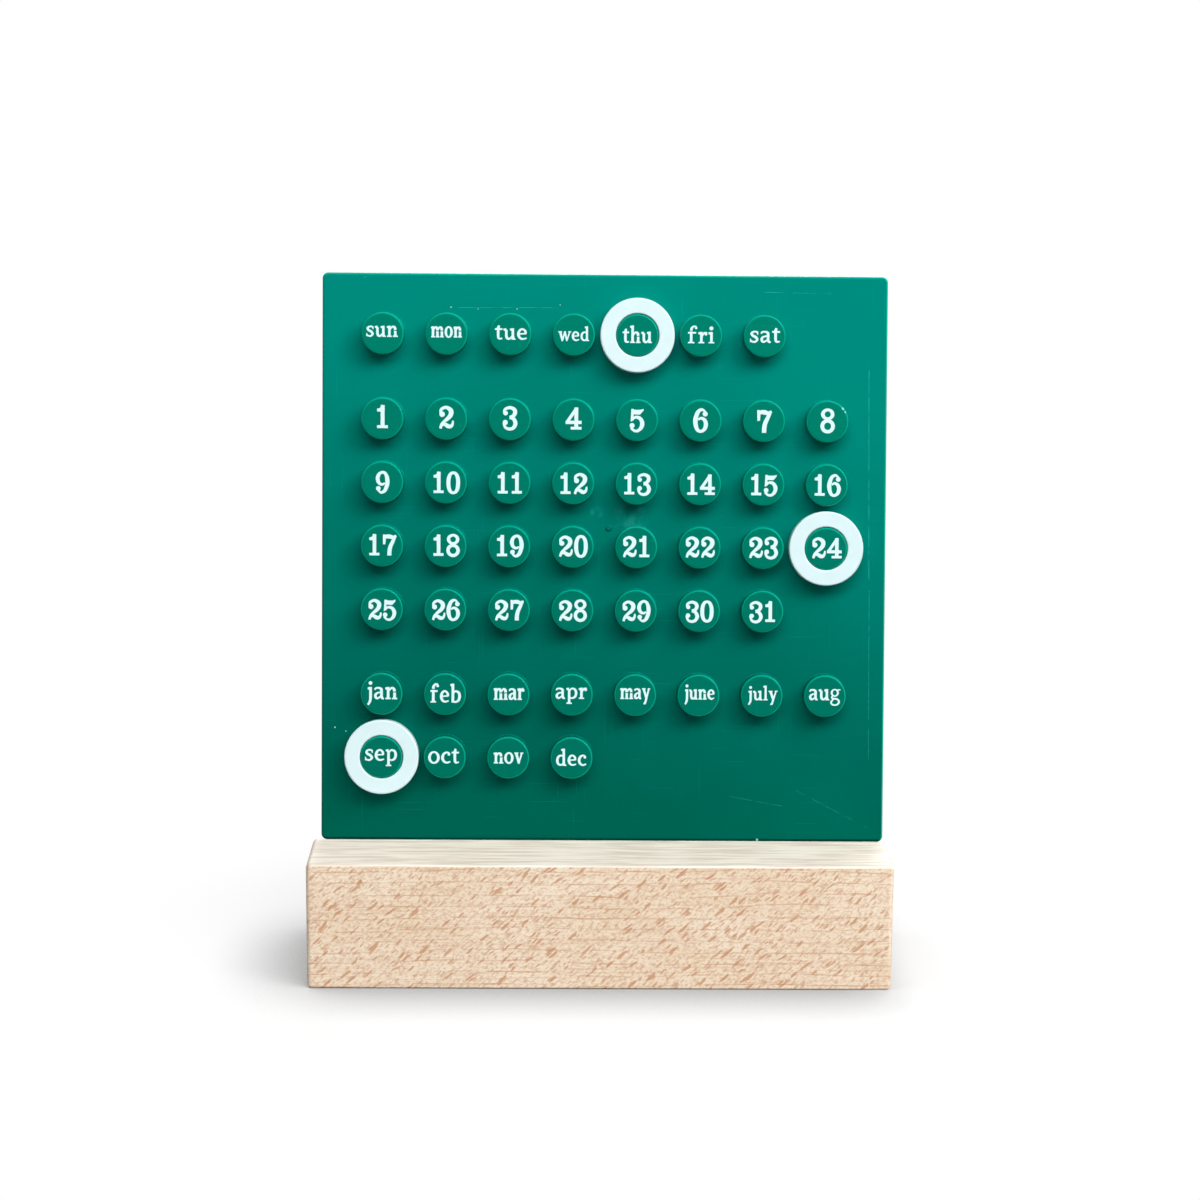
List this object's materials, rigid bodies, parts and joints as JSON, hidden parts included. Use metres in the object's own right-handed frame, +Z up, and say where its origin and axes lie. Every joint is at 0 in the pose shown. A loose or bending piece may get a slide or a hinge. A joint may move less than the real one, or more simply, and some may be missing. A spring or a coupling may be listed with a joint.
{
  "type": "perpetual desk calendar",
  "caption": "Perpetual desk calendar: a moulded panel of labelled pegs leans back in a slotted wooden block, and loose rings mark the day, date and month.",
  "frame": {"origin": "centre of the block's underside", "axes": "+X to the reader's right, +Y away from the reader, +Z up"},
  "size_m": [0.1366, 0.0487, 0.1621],
  "materials": {
    "beech": "light beech, planed and fine sanded, with ray flecks, left clear",
    "panel_plastic": "moulded green plastic, glossy, with fine scuffs",
    "ring_plastic": "moulded white plastic, cool white, satin gloss",
    "label_ink": "white ink printed on the pegs' faces, a thin film on top of the panel's moulding"
  },
  "bodies": {
    "base": {"base_block": "beech"},
    "panel": {"peg_panel": "panel_plastic"},
    "day_ring": {"ring_day": "ring_plastic"},
    "date_ring": {"ring_date": "ring_plastic"},
    "month_ring": {"ring_month": "ring_plastic"}
  },
  "joints": [
    {"name": "panel_lift", "type": "slide", "parent": "base", "child": "panel", "axis": [0, 0.1736, 0.9848], "range_m": [0, 0.02]},
    {"name": "ring_day_lift", "type": "slide", "parent": "panel", "child": "day_ring", "axis": [0, -0.9848, 0.1736], "range_m": [0, 0.01]},
    {"name": "ring_date_lift", "type": "slide", "parent": "panel", "child": "date_ring", "axis": [0, -0.9848, 0.1736], "range_m": [0, 0.01]},
    {"name": "ring_month_lift", "type": "slide", "parent": "panel", "child": "month_ring", "axis": [0, -0.9848, 0.1736], "range_m": [0, 0.01]}
  ]
}
